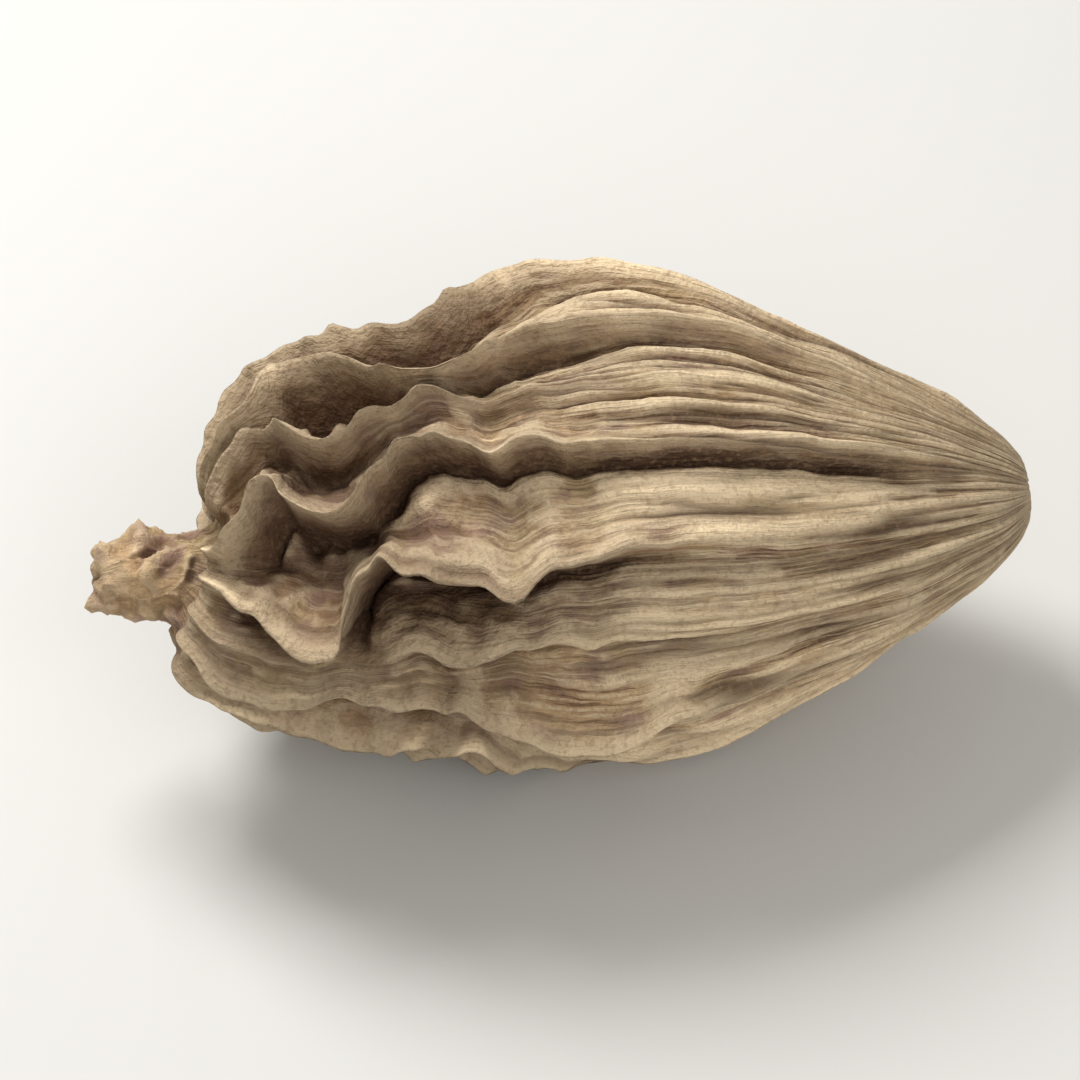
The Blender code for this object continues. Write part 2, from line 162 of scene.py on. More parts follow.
# The ribs on the side that shows, in order round the pod. A route is (share, degrees), heights are
# (share, millimetres), and lean is how far the crest hangs over its lower side, in millimetres.
SEEN_RIBS = (
    Rib(  # along the upper outline
        ((0.12, -66), (0.2, -62), (0.29, -58), (0.35, -46), (0.42, -44), (0.48, -50), (0.58, -42),
         (0.7, -34), (0.85, -30), (1.0, -32)),
        ((0.12, 0.3), (0.22, 0.8), (0.4, 0.8), (0.55, 0.55), (0.75, 0.3), (1.0, 0.1)),
        0.2,
    ),
    Rib(  # upper rim of the pocket
        ((0.12, -42), (0.17, -38), (0.21, -31), (0.25, -33), (0.28, -41), (0.31, -38), (0.34, -28),
         (0.38, -14), (0.43, -13), (0.48, -18), (0.59, -16), (0.7, -15), (0.85, -9), (1.0, -10)),
        ((0.12, 0.3), (0.2, 0.7), (0.31, 1.0), (0.38, 0.7), (0.5, 0.5), (0.7, 0.35), (0.85, 0.25),
         (1.0, 0.1)),
        0.35,
    ),
    Rib(  # lower rim of the pocket, which runs on as a low pleat
        ((0.12, -22), (0.17, -16), (0.22, -20), (0.25, -22), (0.265, -15), (0.28, -4), (0.3, 2), (0.34, 1),
         (0.363, -3), (0.385, -6), (0.43, -3), (0.5, 1), (0.6, 3), (0.75, 4), (0.88, 5), (1.0, 8)),
        ((0.12, 0.3), (0.2, 0.5), (0.3, 0.9), (0.37, 0.7), (0.42, 0.25), (0.5, 0.1), (0.75, 0.15),
         (1.0, 0.05)),
        0.2,
    ),
    Rib(  # the zigzag fold, then the crest above the long groove
        ((0.12, 16), (0.17, 27), (0.2, 31), (0.225, 20), (0.243, 10), (0.255, 9), (0.265, 15), (0.283, 21),
         (0.305, 24), (0.322, 20), (0.338, 14), (0.357, 8), (0.384, 7), (0.41, 11), (0.484, 17),
         (0.593, 21), (0.745, 20), (0.9, 20), (1.0, 24)),
        ((0.12, 0.3), (0.17, 0.45), (0.22, 0.9), (0.3, 1.0), (0.38, 0.65), (0.5, 0.5), (0.7, 0.45),
         (0.88, 0.35), (1.0, 0.1)),
        0.5,
    ),
    Rib(  # the tongue, then the long light fold
        ((0.12, 38), (0.16, 42), (0.198, 46), (0.232, 52), (0.246, 58), (0.262, 62), (0.28, 62),
         (0.292, 59), (0.3, 52), (0.308, 45), (0.32, 41), (0.35, 41), (0.38, 44), (0.41, 47), (0.44, 48),
         (0.48, 46), (0.58, 45), (0.7, 48), (0.85, 48), (1.0, 50)),
        ((0.12, 0.3), (0.17, 0.45), (0.22, 0.8), (0.3, 0.95), (0.42, 1.0), (0.48, 0.5), (0.6, 0.14),
         (0.8, 0.15), (1.0, 0.08)),
        0.6,
    ),
    Rib(  # low pleat with a knot in it
        ((0.12, 60), (0.18, 64), (0.24, 73), (0.28, 76), (0.31, 73), (0.34, 68), (0.37, 67), (0.4, 70),
         (0.44, 67), (0.5, 66), (0.62, 68), (0.75, 70), (0.88, 71), (1.0, 74)),
        ((0.12, 0.3), (0.2, 0.4), (0.3, 0.15), (0.39, 0.5), (0.45, 0.2), (0.7, 0.2), (0.85, 0.2),
         (1.0, 0.08)),
        0.2,
    ),
    Rib(  # the lower fold
        ((0.12, 82), (0.18, 84), (0.23, 87), (0.28, 82), (0.34, 80), (0.4, 81), (0.425, 87), (0.455, 94),
         (0.5, 96), (0.535, 94), (0.56, 89), (0.6, 90), (0.68, 91), (0.78, 93), (0.9, 97), (1.0, 100)),
        ((0.12, 0.3), (0.2, 0.7), (0.35, 0.8), (0.48, 0.9), (0.6, 0.65), (0.7, 0.3), (0.85, 0.2),
         (1.0, 0.08)),
        0.5,
    ),
    Rib(  # along the lower outline
        ((0.12, 108), (0.2, 112), (0.28, 122), (0.34, 116), (0.4, 114), (0.47, 124), (0.55, 126),
         (0.65, 120), (0.8, 121), (1.0, 125)),
        ((0.12, 0.3), (0.2, 0.6), (0.35, 0.7), (0.5, 0.6), (0.65, 0.45), (0.8, 0.2), (1.0, 0.08)),
        0.35,
    ),
)

Hollow = namedtuple("Hollow", "share degrees length width depth")

# Pockets between the folds, in millimetres: half their length along the pod and half their width.
HOLLOWS = (
    Hollow(0.27, -24, 0.8, 0.8, 1.3),
    Hollow(0.33, -18, 1.0, 0.8, 1.2),
    Hollow(0.255, 33, 1.2, 1.1, 0.7),
    Hollow(0.33, 30, 1.1, 0.7, 0.45),
    Hollow(0.36, 54, 1.6, 0.55, 0.5),
    Hollow(0.42, 57, 1.3, 0.5, 0.5),
    Hollow(0.25, 102, 1.8, 0.8, 0.7),
    Hollow(0.37, 100, 2.0, 0.8, 0.6),
    Hollow(0.24, 205, 1.4, 0.8, 0.7),
    Hollow(0.3, 250, 1.6, 0.9, 0.7),
)
# How deep under and over the skin a hollow still counts, in millimetres.
HOLLOW_REACH = 2.0

# Small pits in the deepest pockets, the same way. Their colour is darkened with painted shade.
PITS = (
    Hollow(0.284, -31, 0.6, 0.45, 0.9),
    Hollow(0.333, -20, 0.85, 0.5, 0.9),
    Hollow(0.236, 36, 0.5, 0.35, 0.5),
    Hollow(0.312, 33, 0.6, 0.4, 0.5),
    Hollow(0.318, 55, 0.6, 0.35, 0.5),
)
PIT_REACH = 1.0

# The ribs on the far side and underneath are spaced evenly and wander by a rule.
FAR_RIB_COUNT = 7
FAR_RIB_SHARES = np.linspace(0.12, 1.0, 23)
FAR_RIB_WANDER = 6.5
FAR_RIB_HEIGHT = 0.75
# Rings stand closer together over the crumpled end: (share of the rings, share of the pod).
RING_SPREAD = ((0.0, 0.0), (0.12, 0.105), (0.6, 0.46), (0.9, 0.9), (1.0, 1.0))
# How much closer columns stand at the crests: 0 is evenly spread.
CREST_CROWDING = 0.45

# Small ruffles along the crests: (degrees sideways, share of the height, ruffles along the pod).
CRUMPLED_RUFFLES = (1.0, 0.18, 60.0)
PLEATED_RUFFLES = (0.5, 0.15, 36.0)

# Dry fibres run along the husk. Their pattern is laid out on a cylinder of this radius, and narrows
# with the pod towards its ends.
GRAIN_RADIUS = 8.0
Grain = namedtuple("Grain", "across along width seed")
FURROWS = Grain(0.9, 13.0, 0.15, 41.7)
FINE_FURROWS = Grain(0.5, 8.0, 0.2, 17.3)
STRANDS = Grain(1.25, 19.0, 0.13, 63.1)
FINE_FURROW_SHARE = 0.6
STRAND_SHARE = 0.5
# Fewer furrows cut the crumpled end, and everywhere they come in patches of this size.
CRUMPLED_FURROWS = 0.5
FURROW_PATCHES = (2.6, 2.6, 7.0)
# Wrinkles, whose height is a share of the setting's. They fade this close to a crest, in millimetres.
WRINKLES = (Lumps(1.3, 1.0, 7.7), Lumps(0.6, 0.6, 29.3))
WRINKLE_FADE = 0.3
# A crest that hangs over has a thin lip, and a narrow gap right under it: (distance from the crest,
# width, height or depth), in millimetres.
LIP = (0.0, 0.22, 0.11)
GAP = (0.55, 0.2, 0.55)
# The strip of painted shade under such a crest: (distance from the crest, width), in millimetres.
UNDERSHADE = (0.4, 0.27)
# A crest has its full lip and gap from this overhang on, in millimetres.
FULL_OVERHANG = 0.3

# Where the husk is worn: (smoothing passes, millimetres for the full effect).
CREST_WEAR = (20, 0.07)
# Painted shade, with some dirt, lies where less of the sky is open within this many millimetres. The rays
# that look for it start this far off the husk, and those that graze it don't count.
SKY_REACH = 3.0
SKY_RAYS = 48
SKY_START = 0.03
SKY_GRAZING = 0.1
# How far the pale line along a crest reaches down each side, in millimetres. The line is partly the
# crests' own paler colour and partly painted highlight, which reaches further down the upper, lit side.
LOWER_CREST_LINE = 0.2
UPPER_CREST_LINE = 0.36
# A crest of this height, in millimetres, has its full pale line.
FULL_CREST = 0.7
# The husk's length along its skin, in millimetres.
HUSK_LENGTH = 38.0
# The turn of a rib's route is averaged over five rings.
BEND_BLUR = np.array((1.0, 2.0, 3.0, 2.0, 1.0)) / 9.0

# Sizes of the patterns in the husk's colour: along the grain in its own millimetres, the rest in metres.
FIBRES = (0.12, 0.12, 2.6)
STREAKS = (0.5, 0.5, 8.0)
CRINKLES = (0.7, 0.7, 1.6)
PATCHES = (0.0042, 0.0042, 0.0042)
BLOTCHES = (0.0016, 0.0016, 0.0016)
MOTTLE = (0.0007, 0.0007, 0.0007)
SPECKS = (0.00022, 0.00022, 0.00022)
# Height of the finest relief, in metres.
RELIEF_HEIGHT = 0.00024

HUSK_NAME = "Cardamom_pod_husk"
SENSOR = 36.0
# What the camera and the lights look at.
AIM = (-0.0005, 0.0, 0.0068)
# Soft square lights: (place, length of the sides), in metres.
OVERHEAD_LIGHT = ((-0.04, 0.075, 0.125), 0.065)
FRONT_LIGHT = ((0.03, -0.12, 0.11), 0.12)
ROOM_COLOUR = (1.0, 0.985, 0.96)
FLOOR_ROUGHNESS = 0.6


def smooth_through(knots, values, at):
    """A cubic curve through the values at the knots, read at the given places."""
    knots = np.asarray(knots, float)
    values = np.asarray(values, float)
    slopes = np.gradient(values, knots, axis=0)
    left = np.clip(np.searchsorted(knots, at, side="right") - 1, 0, len(knots) - 2)
    span = knots[left + 1] - knots[left]
    q = (at - knots[left]) / span
    if values.ndim > 1:
        q = q[..., None]
        span = span[..., None]
    return (
        (2 * q**3 - 3 * q**2 + 1) * values[left]
        + (q**3 - 2 * q**2 + q) * span * slopes[left]
        + (3 * q**2 - 2 * q**3) * values[left + 1]
        + (q**3 - q**2) * span * slopes[left + 1]
    )


def ramp(low, high, value):
    """0 below low, 1 above high, and smooth in between."""
    q = np.clip((value - low) / (high - low), 0.0, 1.0)
    return q * q * (3.0 - 2.0 * q)


def crumpled(share):
    """1 over the crumpled flower end, 0 over the pleated stalk half."""
    return ramp(PLEATED_FROM, CRUMPLED_TO, share)


def profile_at(share):
    """(place along X, radius) of the skin at each share."""
    points = np.array(PROFILE)
    steps = np.linalg.norm(np.diff(points, axis=0), axis=1)
    knots = np.concatenate([[0.0], np.cumsum(steps)]) / steps.sum()
    place = smooth_through(knots, points, share)
    return place[..., 0], np.maximum(place[..., 1], 0.0)


def skin(share, angle):
    """Points of the smooth skin under the ribs, in millimetres. The angle is in radians."""
    x, radius = profile_at(share)
    fullness = np.clip(radius / 4.0, 0.0, 1.0)
    radius = radius * (1.0 + THREE_LOBES * fullness * np.cos(3.0 * angle - math.pi))
    shoulder = (0.5 + 0.5 * np.cos(angle - math.radians(SHOULDER_ANGLE))) ** 2
    reach = SHOULDER_REACH * ramp(0.07, 0.15, share) * ramp(0.34, 0.13, share)
    radius = radius + BEAK_FLARE * shoulder * ramp(0.05, 0.12, share) * ramp(0.24, 0.12, share)
    lift = BEAK_LIFT * ramp(-10.0, -13.0, x)
    droop = ramp(1.0, 15.0, x)
    y = -np.sin(angle) * radius + DROOP_Y * droop
    z = np.cos(angle) * radius * HEIGHT_TO_WIDTH + lift + DROOP_Z * droop
    return np.stack([x - reach * shoulder, y, z], axis=-1)


def unit(vectors):
    return vectors / np.maximum(np.linalg.norm(vectors, axis=-1, keepdims=True), 1e-9)


def skin_frame(share, angle):
    """(outward, along the pod, round the pod) directions of the skin."""
    step = 1e-3
    along = unit(skin(np.minimum(share + step, 1.0), angle) - skin(np.maximum(share - step, 0.0), angle))
    around = skin(share, angle + step) - skin(share, angle - step)
    around = np.where(np.linalg.norm(around, axis=-1, keepdims=True) > 1e-7, around, (0.0, 0.0, 1.0))
    around = unit(around)
    return unit(np.cross(around, along)), along, around


def far_rib(number):
    """A rib on the hidden side. Its wander grows towards the crumpled flower end."""
    first, last = SEEN_RIBS[-1], SEEN_RIBS[0]
    shares = FAR_RIB_SHARES
    start = smooth_through(*zip(*first.route), shares)
    end = smooth_through(*zip(*last.route), shares) + 360.0
    middle = start + (end - start) * (number + 1) / (FAR_RIB_COUNT + 1)
    crumple = FAR_RIB_WANDER * ramp(0.75, 0.3, shares) + 0.8
    wander = [noise.noise(Vector((s * 17.0, number * 5.3, 2.7))) for s in shares]
    rise = [0.75 + 0.5 * noise.noise(Vector((s * 9.0, number * 3.1, 8.2))) for s in shares]
    heights = FAR_RIB_HEIGHT * np.array(rise) * (0.2 + 0.8 * ramp(0.8, 0.45, shares))
    heights = heights * ramp(0.08, 0.2, shares)
    return Rib(tuple(zip(shares, middle + crumple * np.array(wander))), tuple(zip(shares, heights)), 0.25)


def all_ribs():
    return list(SEEN_RIBS) + [far_rib(number) for number in range(FAR_RIB_COUNT)]


def uneven(points, size, seed):
    """Smooth noise from -1 to 1 at the points, whose lumps are about as long as the size."""
    flat = (points / np.asarray(size)).reshape(-1, 3) + seed
    return np.array([noise.noise(Vector(p)) for p in flat]).reshape(points.shape[:-1])


def uneven_along(share, waves, seed):
    """Smooth noise from -1 to 1 along one rib."""
    return np.array([noise.noise(Vector((s * waves, seed, 1.9))) for s in share])


def crest_lines(share):
    """For every rib at each share: its angle in radians, the slope of its route, its height, how far it
    hangs over and how far it leans."""
    angles, slopes, heights, hangs, leans = [], [], [], [], []
    step = 1e-3
    x, radius = profile_at(share)
    walk = np.concatenate([[0.0], np.cumsum(np.maximum(np.hypot(np.diff(x), np.diff(radius)), 1e-4))])
    ahead, behind = profile_at(np.minimum(share + step, 1.0)), profile_at(np.maximum(share - step, 0.0))
    length = np.maximum(np.hypot(ahead[0] - behind[0], ahead[1] - behind[1]), 1e-6)
    # Ribs are lower where they run together at the ends.
    room = np.clip(radius / 4.5, 0.1, 1.0) * ramp(BEAK_END, BODY_START, share)
    rough = crumpled(share)
    body = ramp(BEAK_END, 0.2, share)
    for rib in all_ribs():
        number = len(angles)
        knots, degrees = zip(*rib.route)
        held = np.clip(share, knots[0], knots[-1])
        after = smooth_through(knots, degrees, np.clip(share + step, knots[0], knots[-1]))
        before = smooth_through(knots, degrees, np.clip(share - step, knots[0], knots[-1]))
        height = smooth_through(*zip(*rib.heights), np.clip(share, rib.heights[0][0], 1.0))
        wobble = CREST_WOBBLE * uneven_along(share, WOBBLES_ALONG, number * 7.7) * rough * body
        line = smooth_through(knots, degrees, held) + wobble
        swing = np.gradient(np.radians(line), walk) * radius
        bend = np.gradient(swing, walk) / (1.0 + swing**2) ** 1.5
        bend = np.convolve(np.maximum(bend, 0.0), BEND_BLUR, mode="same")
        for (sideways, upwards, waves), part in ((CRUMPLED_RUFFLES, rough), (PLEATED_RUFFLES, 1.0 - rough)):
            line = line + sideways * part * body * uneven_along(share, waves, number * 3.3 + 40.0)
            height = height * (1.0 + upwards * part * uneven_along(share, waves, number * 5.9 + 80.0))
        angles.append(np.radians(line))
        slopes.append(np.radians(after - before) * radius / length)
        height = height * (1.0 + (CRUMPLED_RISE - 1.0) * rough)
        heights.append(np.maximum(height, 0.0) * room)
        hang = rib.lean * np.clip(heights[-1] / 0.8, 0.0, 1.3) * ramp(2.5, 5.5, radius)
        hangs.append(hang)
        leans.append(hang / (1.0 + BEND_LIMIT * bend * hang))
    return [np.array(rows) for rows in (angles, slopes, heights, hangs, leans)]


def hump(distance, width):
    """1 at no distance, and smoothly down to 0 over about twice the width."""
    return np.exp(-((distance / width) ** 2))


def along_grain(grain, spec):
    """1 on thin lines that run along the husk's fibres, 0 between them."""
    lines = uneven(grain, (spec.across, spec.across, spec.along), spec.seed)
    return hump(lines, spec.width)


def furrows_and_strands(grain, radius, rough, body):
    """How deep in a furrow and how far up a raised strand each point is."""
    narrow = np.clip(radius / GRAIN_RADIUS, 0.0, 1.0)
    patchy = np.clip(0.75 + 0.9 * uneven(grain, FURROW_PATCHES, 51.9), 0.15, 1.3)
    cut = narrow * body * (1.0 - (1.0 - CRUMPLED_FURROWS) * rough) * patchy
    furrow = along_grain(grain, FURROWS) + FINE_FURROW_SHARE * along_grain(grain, FINE_FURROWS)
    return furrow * cut, along_grain(grain, STRANDS) * cut


def inside_hollow(points, hollow, reach):
    """1 at the hollow's middle, 0 well away from it."""
    at = (np.array(hollow.share), np.array(math.radians(hollow.degrees)))
    apart = points - skin(*at)
    across, endways, sideways = (apart @ direction for direction in skin_frame(*at))
    away = (endways / hollow.length) ** 2 + (sideways / hollow.width) ** 2 + (across / reach) ** 2
    return np.exp(-away)


def raised(points, lumps):
    """Height of the lumps at the points."""
    return lumps.height * uneven(points, lumps.size, lumps.seed)


def lumps_and_creases(points, radius, rough, body):
    """Height of the uneven lumps all over and of the sharp creases in the crumpled end."""
    lumps = raised(points, BROAD_LUMPS) + raised(points, PLEATED_LUMPS) * (1.0 - rough)
    lumps = lumps + raised(points, CRUMPLED_LUMPS) * rough
    creases = 0.2 * CREASES.height - np.abs(raised(points, CREASES))
    return body * lumps + rough * creases * ramp(3.0, 5.5, radius)


def beak_relief(points, share, angle):
    """Height of the beak's twisted lobes and knots, which fade towards both of its ends."""
    lobes = BEAK_LOBE_HEIGHT * np.cos(BEAK_LOBES * angle + BEAK_TWIST * share)
    fading = ramp(0.0, 0.02, share) * (0.3 + 0.7 * ramp(0.11, 0.075, share))
    return fading * (lobes + raised(points, BEAK_KNOTS))


def husk_points(share, place, settings):
    """Points of the ribbed skin, in millimetres, and what its finish goes by at each. The place round the
    pod counts ribs: 2.0 is the third rib's crest, and 2.5 is half way to the next one."""
    angles, slopes, heights, hangs, leans = crest_lines(share[:, 0])
    heights = heights * settings.rib_height
    count = len(angles)
    low = np.floor(place).astype(int) % count
    high = (low + 1) % count
    part = place - np.floor(place)
    part = part - CREST_CROWDING * np.sin(2.0 * math.pi * part) / (2.0 * math.pi)
    row = np.arange(share.shape[0])[:, None]
    start = angles[low, row]
    turn = np.where(high == 0, 2.0 * math.pi, 0.0)
    gap = angles[high, row] + turn - start
    angle = start + part * gap
    points = skin(share, angle)
    outward, along, around = skin_frame(share, angle)
    radius = profile_at(share)[1]

    wide = ramp(0.5, 3.0, gap * radius)
    rough = crumpled(share)
    sag = VALLEY_SAG * ramp(1.0, 0.6, share) * (1.0 - rough) + CRUMPLED_SAG * rough
    height = -sag * (1.0 - np.cos(math.pi * part) ** 4) * wide
    middle = (part - 0.5) * gap * radius
    height = height + PLEAT_HEIGHT * wide * (1.0 - rough) * hump(middle, PLEAT_WIDTH)
    shift = np.zeros_like(points)
    crest = np.zeros_like(share)
    near_crest = np.zeros_like(share)
    under = np.zeros_like(share)
    for rib, away in ((low, part), (high, 1.0 - part)):
        slope = slopes[rib, row]
        steep = np.sqrt(1.0 + slope**2)
        distance = away * gap * radius / steep
        # Where the ribs run together at the ends, their crests are narrower.
        width = CREST_WIDTH * np.clip(gap * radius / steep / CREST_ROOM, 0.1, 1.0)
        hang = np.clip(hangs[rib, row] / SHINGLE_OVERHANG, 0.0, 1.0)
        width = width * (1.0 - SHINGLE_DROP * hang if rib is low else 1.0 + SHINGLE_RISE * hang)
        bump = np.exp(-((distance / width) ** CREST_SHARPNESS))
        height = height + heights[rib, row] * bump
        # The pale crest line is partly painted highlight, and reaches further down the upper, lit side.
        line = LOWER_CREST_LINE if rib is low else UPPER_CREST_LINE
        crest = crest + np.clip(heights[rib, row] / FULL_CREST, 0.0, 1.0) * hump(distance, line)
        near_crest = near_crest + hump(distance, WRINKLE_FADE)
        overhang = np.clip(hangs[rib, row] / FULL_OVERHANG, 0.0, 1.0)
        height = height + LIP[2] * overhang * hump(distance - LIP[0], LIP[1])
        if rib is low:
            trough = hump(distance - TROUGH_OFFSET, TROUGH_WIDTH)
            height = height - TROUGH_DEPTH * hangs[rib, row] * trough * wide
            height = height - GAP[2] * overhang * hump(distance - GAP[0], GAP[1]) * wide
            # Painted shade on the wall under a crest that hangs over.
            under = under + overhang * hump(distance - UNDERSHADE[0], UNDERSHADE[1]) * wide
        # A crest that turns sharply has no room to hang over.
        across = (around - slope[..., None] * along) / steep[..., None] ** 3
        shift = shift + (leans[rib, row] * bump)[..., None] * across
    for hollow in HOLLOWS:
        height = height - hollow.depth * inside_hollow(points, hollow, HOLLOW_REACH)
    for pit in PITS:
        inside = inside_hollow(points, pit, PIT_REACH)
        height = height - pit.depth * inside
        # The pits are darkened with painted shade too.
        under = under + inside
    body = ramp(BEAK_END, BODY_START, share)
    height = height + lumps_and_creases(points, radius, rough, body)

    round_pod = 2.0 * math.pi * (np.floor(place) + part) / count
    grain = np.stack(
        [GRAIN_RADIUS * np.cos(round_pod), GRAIN_RADIUS * np.sin(round_pod), share * HUSK_LENGTH], axis=-1
    )
    furrow, strand = furrows_and_strands(grain, radius, rough, body)
    height = height + settings.furrow_depth / MM * (STRAND_SHARE * strand - furrow)
    height = height * ramp(1.0, 0.95, share)
    height = height + (1.0 - body) * beak_relief(points, share, angle)
    finish = {
        "near_crest": near_crest * body,
        "grain": grain,
        "share": share,
        "crest": np.clip(crest, 0.0, 1.0) * body,
        "under": np.clip(under, 0.0, 1.0),
        "furrow": np.clip(furrow, 0.0, 1.0),
        "strand": np.clip(strand, 0.0, 1.0),
    }
    return points + outward * height[..., None] + shift, finish


def smoothed(points, passes):
    """The grid of points, each moved again and again to the middle of its four neighbours."""
    for _ in range(passes):
        ends = np.concatenate([points[:1], points, points[-1:]])
        points = (np.roll(points, 1, axis=1) + np.roll(points, -1, axis=1) + ends[:-2] + ends[2:]) / 4.0
    return points


def grid_normals(points):
    ends = np.concatenate([points[:1], points, points[-1:]])
    along = ends[2:] - ends[:-2]
    around = np.roll(points, -1, axis=1) - np.roll(points, 1, axis=1)
    return unit(np.cross(around, along))


def crinkled(points, share, crest, settings):
    """The grid of points with small wrinkles raised from it, most of them over the crumpled end and the
    beak, and none on the thin crests."""
    crinkle = np.zeros_like(share)
    for wrinkle in WRINKLES:
        crinkle = crinkle + 0.25 * wrinkle.height - np.abs(raised(points, wrinkle))
    beak = 1.0 - ramp(BEAK_END, BODY_START, share)
    strength = 0.2 + 0.8 * crumpled(share) + 1.1 * beak
    strength = strength * (1.0 - np.clip(1.6 * crest, 0.0, 1.0))
    strength = strength * ramp(0.0, 0.02, share) * ramp(1.0, 0.97, share)
    height = settings.wrinkle_height / MM * crinkle * strength
    return points + grid_normals(smoothed(points, 6)) * height[..., None]


def wear(points):
    """How worn each point is, as it stands proud of the skin round it."""
    passes, full = CREST_WEAR
    proud = np.sum((points - smoothed(points, passes)) * grid_normals(smoothed(points, 2)), axis=-1)
    return np.clip(proud / full, 0.0, 1.0)


def even_directions(count):
    """Directions spread evenly over a sphere."""
    turn = math.pi * (3.0 - math.sqrt(5.0)) * np.arange(count)
    z = 1.0 - (2.0 * np.arange(count) + 1.0) / count
    flat = np.sqrt(1.0 - z * z)
    return np.stack([flat * np.cos(turn), flat * np.sin(turn), z], axis=-1)


def hidden_from_sky(mesh):
    """The share of the sky that the husk itself hides from each vertex."""
    count = len(mesh.vertices)
    places, normals = np.zeros(count * 3), np.zeros(count * 3)
    mesh.vertices.foreach_get("co", places)
    mesh.vertices.foreach_get("normal", normals)
    places, normals = places.reshape(-1, 3), normals.reshape(-1, 3)
    husk = BVHTree.FromPolygons(places.tolist(), [face.vertices[:] for face in mesh.polygons])
    directions = even_directions(SKY_RAYS)
    facing = normals @ directions.T
    starts = (places + normals * SKY_START * MM).tolist()
    rays = [Vector(direction) for direction in directions]
    hidden = np.zeros(count)
    for vertex, start in enumerate(starts):
        for ray in np.flatnonzero(facing[vertex] > SKY_GRAZING):
            if husk.ray_cast(start, rays[ray], SKY_REACH * MM)[0] is not None:
                hidden[vertex] += facing[vertex, ray]
    hidden = hidden / np.maximum(np.where(facing > SKY_GRAZING, facing, 0.0).sum(axis=1), 1e-6)
    # Each vertex is drawn half way towards the mean of its neighbours, twice.
    ends = np.zeros(len(mesh.edges) * 2, dtype=int)
    mesh.edges.foreach_get("vertices", ends)
    first, second = ends.reshape(-1, 2).T
    meeting = np.bincount(ends, minlength=count)
    for _ in range(2):
        total = np.bincount(first, hidden[second], count) + np.bincount(second, hidden[first], count)
        hidden = 0.5 * hidden + 0.5 * total / meeting
    return hidden


def closed_grid(points, finish):
    """A closed mesh through the grid, one vertex at each pole, with the finish's values on its points."""
    rings, columns = points.shape[0] - 1, points.shape[1]

    def flat(values):
        inner = values[1:-1].reshape((rings - 1) * columns, -1)
        return np.concatenate([values[:1, 0].reshape(1, -1), inner, values[-1:, 0].reshape(1, -1)])

    def number(ring, column):
        return 1 + (ring - 1) * columns + column % columns

    last = (rings - 1) * columns + 1
    faces = []
    for column in range(columns):
        faces.append((0, number(1, column + 1), number(1, column)))
        faces.append((last, number(rings - 1, column), number(rings - 1, column + 1)))
        for ring in range(1, rings - 1):
            near = (number(ring, column), number(ring, column + 1))
            faces.append((*near, number(ring + 1, column + 1), number(ring + 1, column)))
    mesh = bpy.data.meshes.new(HUSK_NAME)
    mesh.from_pydata(flat(points), [], faces)
    for name, values in finish.items():
        kind, field = ("FLOAT_VECTOR", "vector") if values.ndim == 3 else ("FLOAT", "value")
        layer = mesh.attributes.new(name, kind, "POINT")
        layer.data.foreach_set(field, flat(values).ravel())
    return mesh


def flatten_underside(mesh):
    """Cuts the small flat strips that the pod rests on, at the origin's height."""
    bm = bmesh.new()
    bm.from_mesh(mesh)
    everything = list(bm.verts) + list(bm.edges) + list(bm.faces)
    level, down = Vector((0.0, 0.0, 0.0)), Vector((0.0, 0.0, -1.0))
    bmesh.ops.bisect_plane(bm, geom=everything, plane_co=level, plane_no=down, clear_outer=True)
    rim = [edge for edge in bm.edges if edge.is_boundary]
    bmesh.ops.contextual_create(bm, geom=rim)
    bm.to_mesh(mesh)
    bm.free()


def open_edges(mesh):
    """How many edges don't have a face on both sides."""
    sides = np.zeros(len(mesh.loops), dtype=int)
    mesh.loops.foreach_get("edge_index", sides)
    return int(np.sum(np.bincount(sides, minlength=len(mesh.edges)) != 2))


def fit_into(points, box):
    """Draws in whichever sides of the points stick out of the box, except the underside."""
    low, high = np.array(box)
    reach = points.reshape(-1, 3)
    above = np.minimum(1.0, high / reach.max(axis=0))
    below = np.minimum(1.0, np.array((low[0], low[1], -np.inf)) / reach.min(axis=0))
    return points * np.where(points > 0.0, above, below)


def socket(node, key, value):
    """Sets a socket, or links another node's output to it."""
    if isinstance(value, bpy.types.NodeSocket):
        node.id_data.links.new(value, node.inputs[key])
    else:
        node.inputs[key].default_value = value


def attribute(tree, name, vector=False):
    node = tree.nodes.new("ShaderNodeAttribute")
    node.attribute_name = name
    return node.outputs["Vector" if vector else "Fac"]


def calc(tree, operation, first, second):
    node = tree.nodes.new("ShaderNodeMath")
    node.operation = operation
    socket(node, 0, first)
    socket(node, 1, second)
    return node.outputs[0]


def times(tree, first, second):
    return calc(tree, "MULTIPLY", first, second)


def noisy(tree, coordinates, size, detail, roughness=0.55, kind="FBM"):
    """Noise from 0 to 1 whose lumps are about as long as the size, in the coordinates' own unit."""
    stretch = tree.nodes.new("ShaderNodeVectorMath")
    stretch.operation = "DIVIDE"
    socket(stretch, 0, coordinates)
    socket(stretch, 1, size)
    node = tree.nodes.new("ShaderNodeTexNoise")
    node.noise_type = kind
    socket(node, "Vector", stretch.outputs[0])
    socket(node, "Scale", 1.0)
    socket(node, "Detail", detail)
    socket(node, "Roughness", roughness)
    return node.outputs["Fac"]


def spread(tree, value, low, high, to_low=0.0, to_high=1.0):
    """Stretches the range from low to high out to the other range, smoothly, and holds it there."""
    node = tree.nodes.new("ShaderNodeMapRange")
    node.interpolation_type = "SMOOTHSTEP"
    socket(node, "Value", value)
    socket(node, "From Min", low)
    socket(node, "From Max", high)
    socket(node, "To Min", to_low)
    socket(node, "To Max", to_high)
    return node.outputs[0]


